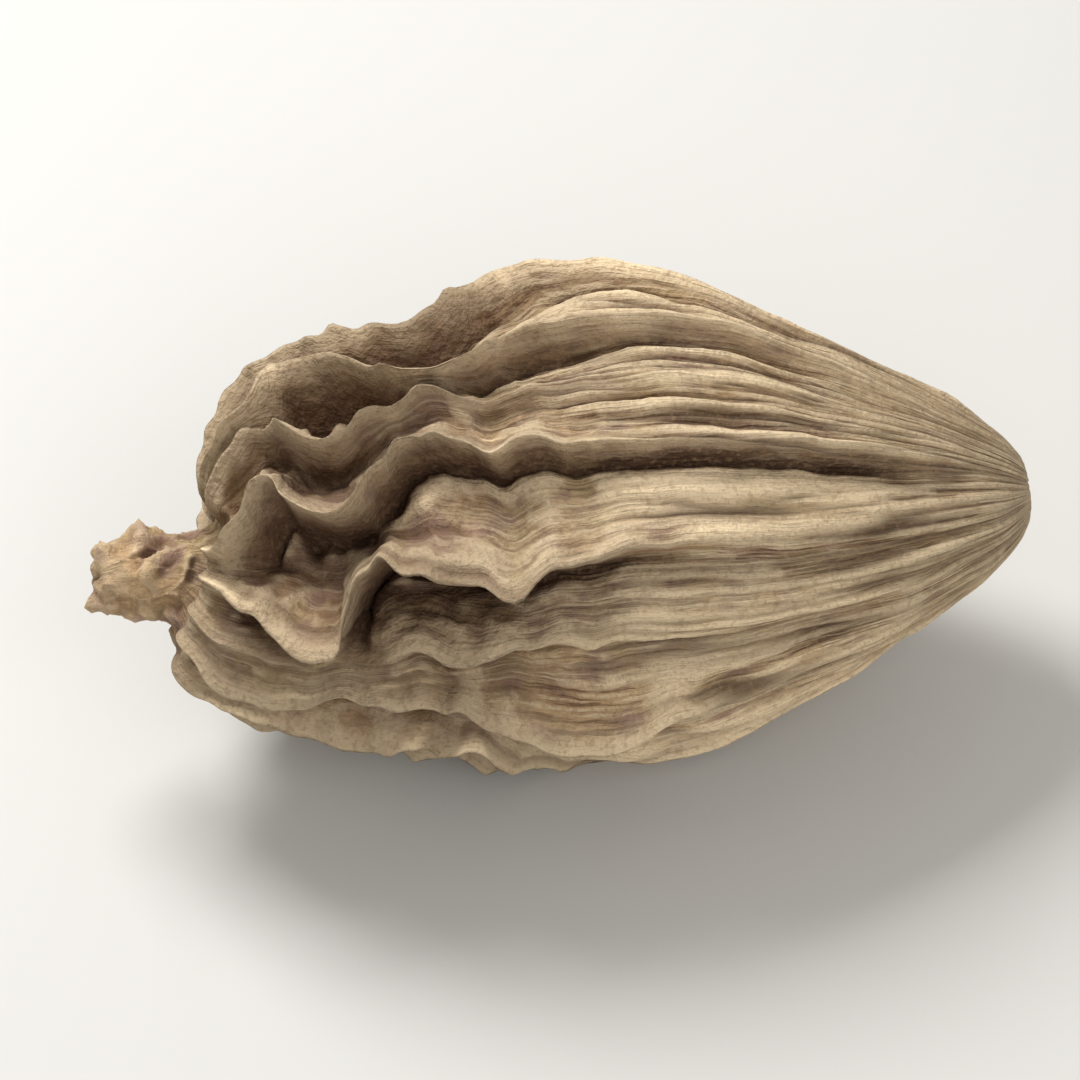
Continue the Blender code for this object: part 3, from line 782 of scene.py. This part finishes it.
def blend(tree, factor, below, above):
    node = tree.nodes.new("ShaderNodeMix")
    node.data_type = "RGBA"
    socket(node, 0, factor)
    socket(node, 6, below)
    socket(node, 7, above)
    return node.outputs[2]


def rgba(colour):
    return (*colour, 1.0)


def husk_patterns(tree):
    """The patterns that the husk's colour and relief go by, each from 0 to 1."""
    grain = attribute(tree, "grain", vector=True)
    where = tree.nodes.new("ShaderNodeTexCoord").outputs["Object"]
    share = attribute(tree, "share")
    mottle = noisy(tree, where, MOTTLE, 5.0, 0.65)
    streaks = noisy(tree, grain, STREAKS, 3.0)
    pleated = spread(tree, share, 0.38, 0.62)
    # The pattern of the fibres is too narrow to show on the beak.
    off_beak = spread(tree, share, 0.1, 0.15, 0.3, 1.0)
    return {
        "share": share,
        "mottle": mottle,
        "fibres": noisy(tree, grain, FIBRES, 4.0, 0.6),
        "patches": noisy(tree, where, PATCHES, 3.0),
        "blotches": noisy(tree, where, BLOTCHES, 4.0),
        "specks": noisy(tree, where, SPECKS, 2.0),
        "crinkles": noisy(tree, grain, CRINKLES, 5.0, 0.5, "RIDGED_MULTIFRACTAL"),
        "streaked": blend(tree, pleated, mottle, streaks),
        "crumpled_end": times(tree, calc(tree, "SUBTRACT", 1.0, pleated), off_beak),
        "fibrous": times(tree, spread(tree, share, 0.35, 0.55, 0.55, 1.0), off_beak),
    }


def husk_tints(tree, patterns, settings):
    """The husk's ground colours: streaks, the tan stalk end, and olive and purplish patches."""
    share, patches = patterns["share"], patterns["patches"]
    light = spread(tree, patterns["streaked"], 0.4, 0.58)
    colour = blend(tree, light, rgba(settings.dark_colour), rgba(settings.field_colour))
    tan = times(tree, spread(tree, patches, 0.38, 0.62, 0.35, 1.0), spread(tree, share, 0.45, 0.95))
    olive = times(tree, spread(tree, patches, 0.56, 0.44, 0.0, 0.6), spread(tree, share, 0.8, 0.5))
    flushed = spread(tree, patterns["blotches"], 0.46, 0.6, 0.0, 0.85)
    flushed = times(tree, flushed, spread(tree, share, 0.85, 0.5, 0.4, 1.0))
    colour = blend(tree, tan, colour, rgba(settings.stalk_colour))
    colour = blend(tree, olive, colour, rgba(settings.olive_colour))
    return blend(tree, flushed, colour, rgba(settings.flush_colour))


def husk_colour(tree, patterns, settings):
    """The tints with pale and dark fibres, worn crests with painted highlight, furrows, and painted shade
    with some dirt in the folds and under the crests over them.
    """
    fibres, mottle, specks = patterns["fibres"], patterns["mottle"], patterns["specks"]
    share, fibrous = patterns["share"], patterns["fibrous"]
    pale, dark = rgba(settings.crest_colour), rgba(settings.furrow_and_shade_colour)
    worn = times(tree, attribute(tree, "worn"), spread(tree, specks, 0.3, 0.6, 0.55, 1.0))
    worn = times(tree, worn, spread(tree, share, 0.1, 0.15, 0.35, 1.0))
    # The pale crest line: partly the crests' own paler colour, partly painted highlight.
    edge = times(tree, attribute(tree, "crest"), spread(tree, mottle, 0.3, 0.5, 0.6, 1.0))
    # Painted shade, with some dirt, where the husk hides the sky, varied by the mottle.
    dirt_and_shade = calc(tree, "ADD", attribute(tree, "dirt_and_shade"), spread(tree, mottle, 0.3, 0.7, -0.12, 0.12))
    # Painted shade under the overhanging crests and in the pits.
    under = times(tree, attribute(tree, "under"), spread(tree, patterns["streaked"], 0.35, 0.6, 1.0, 0.7))
    creased = spread(tree, patterns["crinkles"], 0.55, 0.15, 0.0, 0.5)
    creased = times(tree, creased, patterns["crumpled_end"])
    layers = (
        (times(tree, spread(tree, fibres, 0.52, 0.62, 0.0, 0.85), fibrous), pale),
        (times(tree, spread(tree, fibres, 0.48, 0.38, 0.0, 0.8), fibrous), dark),
        (times(tree, spread(tree, mottle, 0.54, 0.72), 0.45), pale),
        (times(tree, attribute(tree, "strand"), 0.85), pale),
        (times(tree, worn, 0.95), pale),
        (edge, pale),
        (times(tree, attribute(tree, "furrow"), 0.85), dark),
        (spread(tree, dirt_and_shade, 0.32, 0.85, 0.0, 0.95), dark),
        (under, dark),
        (times(tree, spread(tree, specks, 0.5, 0.66), 0.4), rgba(settings.dark_colour)),
        (creased, dark),
    )
    colour = husk_tints(tree, patterns, settings)
    for amount, tint in layers:
        colour = blend(tree, amount, colour, tint)
    return colour


def husk_relief(tree, patterns):
    """Fibres, mottle, crinkles and specks too fine for the mesh."""
    relief = times(tree, patterns["fibres"], patterns["fibrous"])
    relief = calc(tree, "ADD", relief, times(tree, patterns["mottle"], 0.9))
    folded = times(tree, patterns["crinkles"], times(tree, patterns["crumpled_end"], 0.8))
    relief = calc(tree, "ADD", relief, folded)
    relief = calc(tree, "ADD", relief, times(tree, patterns["specks"], 0.4))
    bump = tree.nodes.new("ShaderNodeBump")
    socket(bump, "Strength", 1.0)
    socket(bump, "Distance", RELIEF_HEIGHT)
    socket(bump, "Height", relief)
    return bump.outputs[0]


def husk_material(settings):
    """Dry, fibrous husk: streaks along the fibres, pale worn crests with painted highlight, dark furrows,
    and painted shade with some dirt in the folds.
    """
    material = bpy.data.materials.new("Dry husk")
    material.use_nodes = True
    tree = material.node_tree
    shader = tree.nodes["Principled BSDF"]
    patterns = husk_patterns(tree)
    dull, less_dull = settings.roughness + 0.08, settings.roughness - 0.1
    socket(shader, "Base Color", husk_colour(tree, patterns, settings))
    socket(shader, "Roughness", spread(tree, patterns["fibres"], 0.3, 0.7, dull, less_dull))
    socket(shader, "Specular IOR Level", 0.35)
    socket(shader, "Normal", husk_relief(tree, patterns))
    return material


def make_pod(settings):
    ribs = len(all_ribs())
    columns = settings.columns_a_rib * ribs
    shares = smooth_through(*zip(*RING_SPREAD), np.linspace(0.0, 1.0, settings.rings + 1))
    place = np.arange(columns) / settings.columns_a_rib
    share = np.repeat(shares[:, None], columns, 1)
    points, finish = husk_points(share, np.repeat(place[None, :], settings.rings + 1, 0), settings)
    points = crinkled(points, share, finish.pop("near_crest"), settings)
    finish["worn"] = wear(points)
    points = fit_into((points - np.array(ORIGIN)) * MM, SOLID_BOX)
    mesh = closed_grid(points, finish)
    # The share of hidden sky darkens the husk's colour: painted shade in the folds, with some dirt.
    mesh.attributes.new("dirt_and_shade", "FLOAT", "POINT").data.foreach_set("value", hidden_from_sky(mesh))
    flatten_underside(mesh)
    mesh.shade_smooth()
    mesh.materials.append(husk_material(settings))
    pod = bpy.data.objects.new(HUSK_NAME, mesh)
    bpy.context.scene.collection.objects.link(pod)
    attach(pod, "root")
    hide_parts(NODE)
    return pod


def plain_material(name, colour, roughness):
    material = bpy.data.materials.new(name)
    material.use_nodes = True
    shader = material.node_tree.nodes["Principled BSDF"]
    shader.inputs["Base Color"].default_value = rgba(colour)
    shader.inputs["Roughness"].default_value = roughness
    return material


def add_light(name, place, size, power):
    """A square soft light, aimed at the pod."""
    data = bpy.data.lights.new(name, "AREA")
    data.size = size
    data.energy = power
    light = bpy.data.objects.new(name, data)
    light.location = place
    light.rotation_euler = (Vector(AIM) - Vector(place)).to_track_quat("-Z", "Y").to_euler()
    bpy.context.scene.collection.objects.link(light)
    return light


def make_stage(settings):
    scene = bpy.context.scene
    half = settings.floor_size / 2.0
    corners = [(-half, -half, 0.0), (half, -half, 0.0), (half, half, 0.0), (-half, half, 0.0)]
    mesh = bpy.data.meshes.new("Floor")
    mesh.from_pydata(corners, [], [(0, 1, 2, 3)])
    mesh.materials.append(plain_material("Pale floor", settings.floor_colour, FLOOR_ROUGHNESS))
    floor = bpy.data.objects.new("Floor", mesh)
    scene.collection.objects.link(floor)

    add_light("Overhead light", *OVERHEAD_LIGHT, settings.overhead_power)
    add_light("Front light", *FRONT_LIGHT, settings.front_power)
    world = bpy.data.worlds.new("Soft room light")
    world.use_nodes = True
    background = world.node_tree.nodes["Background"]
    background.inputs["Color"].default_value = rgba(ROOM_COLOUR)
    background.inputs["Strength"].default_value = settings.room_light
    scene.world = world
    scene.view_settings.view_transform = "Standard"
    add_camera(settings)


def add_camera(settings):
    scene = bpy.context.scene
    data = bpy.data.cameras.new("Camera")
    data.lens = settings.lens
    data.sensor_width = SENSOR
    data.clip_start = 0.01
    camera = bpy.data.objects.new("Camera", data)
    azimuth, elevation = settings.azimuth, settings.elevation
    level = math.cos(elevation)
    back = Vector((math.sin(azimuth) * level, -math.cos(azimuth) * level, math.sin(elevation)))
    distance = settings.frame_width * settings.lens / SENSOR
    camera.location = Vector(AIM) + back * distance
    camera.rotation_euler = (-back).to_track_quat("-Z", "Y").to_euler()
    scene.collection.objects.link(camera)
    scene.camera = camera


class PodSettings(bpy.types.PropertyGroup):
    rings: IntProperty(
        name="Rings", description="Rings of faces along the pod", default=204, min=60, max=204
    )
    columns_a_rib: IntProperty(
        name="Columns a rib", description="Columns of faces from one rib to the next",
        default=32, min=8, max=32,
    )
    rib_height: FloatProperty(
        name="Rib height", description="How high the ribs stand, as a share of their usual height",
        default=1.0, min=0.5, max=1.2, subtype="FACTOR",
    )
    furrow_depth: FloatProperty(
        name="Furrow depth", description="Depth of the furrows between the fibres",
        default=0.00033, min=0.0, max=0.0004, precision=5, subtype="DISTANCE", unit="LENGTH",
    )
    wrinkle_height: FloatProperty(
        name="Wrinkle height", description="Height of the wrinkles over the crumpled end",
        default=0.00034, min=0.0, max=0.0006, precision=5, subtype="DISTANCE", unit="LENGTH",
    )
    field_colour: FloatVectorProperty(
        name="Husk", description="The husk's main colour",
        default=(0.66, 0.445, 0.24), size=3, subtype="COLOR",
    )
    dark_colour: FloatVectorProperty(
        name="Dark streaks", description="Darker streaks along the husk",
        default=(0.39, 0.245, 0.13), size=3, subtype="COLOR",
    )
    stalk_colour: FloatVectorProperty(
        name="Stalk end", description="Tan of the stalk end",
        default=(0.62, 0.455, 0.265), size=3, subtype="COLOR",
    )
    flush_colour: FloatVectorProperty(
        name="Flush", description="Purplish brown patches",
        default=(0.34, 0.205, 0.165), size=3, subtype="COLOR",
    )
    olive_colour: FloatVectorProperty(
        name="Olive", description="Yellowish green tint of the flower end",
        default=(0.46, 0.36, 0.17), size=3, subtype="COLOR",
    )
    # This pale colour also paints the highlight along the crests.
    crest_colour: FloatVectorProperty(
        name="Crests", description="Worn crests and pale fibres",
        default=(0.98, 0.775, 0.50), size=3, subtype="COLOR",
    )
    # This dark colour also paints the shade in the folds, under the overhanging crests and in the pits.
    furrow_and_shade_colour: FloatVectorProperty(
        name="Furrows", description="Furrows and dirt in the folds",
        default=(0.085, 0.040, 0.018), size=3, subtype="COLOR",
    )
    roughness: FloatProperty(
        name="Roughness", description="How matt the husk is",
        default=0.82, min=0.3, max=0.9, subtype="FACTOR",
    )
    floor_colour: FloatVectorProperty(
        name="Floor", description="The floor's colour",
        default=(0.64, 0.63, 0.60), size=3, subtype="COLOR",
    )
    floor_size: FloatProperty(
        name="Floor size", description="Length of the floor's sides",
        default=2.0, min=0.1, subtype="DISTANCE", unit="LENGTH",
    )
    overhead_power: FloatProperty(
        name="Overhead light", description="Power of the soft light above",
        default=0.215, min=0.0, subtype="POWER", unit="POWER",
    )
    front_power: FloatProperty(
        name="Front light", description="Power of the soft light in front",
        default=0.09, min=0.0, subtype="POWER", unit="POWER",
    )
    room_light: FloatProperty(
        name="Room light", description="Strength of the even light all round", default=0.44, min=0.0
    )
    azimuth: FloatProperty(
        name="Azimuth", description="The camera's place round the pod",
        default=math.radians(-10.4), subtype="ANGLE", unit="ROTATION",
    )
    elevation: FloatProperty(
        name="Elevation", description="The camera's height above the horizon",
        default=math.radians(50.0), subtype="ANGLE", unit="ROTATION",
    )
    lens: FloatProperty(
        name="Lens", description="The camera's focal length",
        default=240.0, min=20.0, subtype="DISTANCE_CAMERA", unit="CAMERA",
    )
    frame_width: FloatProperty(
        name="Frame width", description="Width of what the camera takes in at the pod",
        default=0.0345, min=0.02, precision=4, subtype="DISTANCE", unit="LENGTH",
    )


class OBJECT_OT_make_pod(bpy.types.Operator):
    """Makes the pod: its ribbed, crumpled husk with the beak and the stalk scar, and the husk's finish"""

    bl_idname = "object.make_cardamom_pod"
    bl_label = "Make the pod"

    def execute(self, context):
        pod = make_pod(context.scene.pod_settings)
        loose = open_edges(pod.data)
        if loose:
            raise RuntimeError(f"the husk is open at {loose} edges")
        return {"FINISHED"}


class OBJECT_OT_make_stage(bpy.types.Operator):
    """Makes the pale floor, the soft lights and the camera"""

    bl_idname = "object.make_pod_stage"
    bl_label = "Make the stage"

    def execute(self, context):
        make_stage(context.scene.pod_settings)
        if context.scene.camera is None:
            raise RuntimeError("the stage has no camera")
        return {"FINISHED"}


class VIEW3D_PT_pod(bpy.types.Panel):
    """Shows the pod's settings and the buttons that make the pod and the stage"""

    bl_label = "Cardamom pod"
    bl_space_type = "VIEW_3D"
    bl_region_type = "UI"
    bl_category = "Pod"

    def draw(self, context):
        layout = self.layout
        settings = context.scene.pod_settings
        for name in PodSettings.__annotations__:
            layout.prop(settings, name)
        layout.operator(OBJECT_OT_make_pod.bl_idname)
        layout.operator(OBJECT_OT_make_stage.bl_idname)


CLASSES = (PodSettings, OBJECT_OT_make_pod, OBJECT_OT_make_stage, VIEW3D_PT_pod)


def register():
    for cls in CLASSES:
        bpy.utils.register_class(cls)
    bpy.types.Scene.pod_settings = PointerProperty(type=PodSettings)


def unregister():
    del bpy.types.Scene.pod_settings
    for cls in reversed(CLASSES):
        bpy.utils.unregister_class(cls)


def main():
    register()
    bpy.ops.object.make_cardamom_pod()
    bpy.ops.object.make_pod_stage()


if __name__ == "__main__":
    main()
